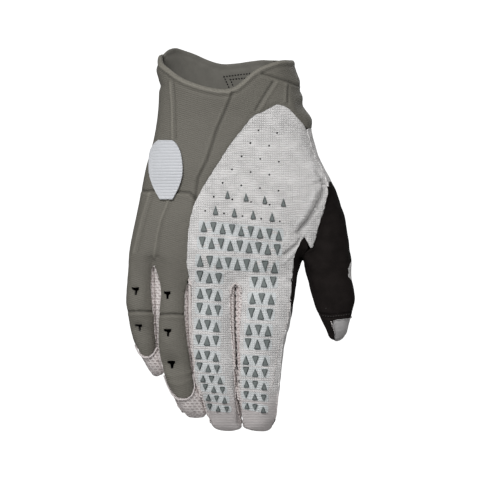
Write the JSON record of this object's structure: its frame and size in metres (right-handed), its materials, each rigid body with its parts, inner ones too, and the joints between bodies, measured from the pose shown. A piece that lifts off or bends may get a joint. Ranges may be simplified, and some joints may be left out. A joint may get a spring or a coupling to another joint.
{
  "type": "motocross glove",
  "caption": "Right-hand riding glove: moulded grey back and cuff, light knit over the knuckles, black palm and thumb, mesh gussets between the fingers.",
  "frame": {"origin": "middle of the cuff opening, where the hand goes in", "axes": "+Z out of the cuff opening, the fingers hang down -Z; -Y is the back of the hand; +X is the thumb's side"},
  "size_m": [0.1327, 0.05, 0.2233],
  "materials": {
    "moulded_grey": "moulded foam-backed fabric, matt",
    "light_knit": "stretch knit, matt",
    "black_leather": "synthetic suede, matt",
    "cuff_fabric": "neoprene-like fabric, matt",
    "light_mesh": "coarse mesh, matt",
    "light_rubber": "moulded rubber, satin"
  },
  "bodies": {
    "root": {"back_panel": "moulded_grey", "knit_panel": "light_knit", "palm_panel": "black_leather", "cuff_palm_panel": "cuff_fabric", "thumb_wrap": "black_leather", "thumb_tip_patch": "light_knit", "gusset_pinky_ring": "light_mesh", "gusset_ring_middle": "light_mesh", "gusset_middle_index": "light_mesh", "back_badge": "light_rubber"}
  },
  "joints": []
}
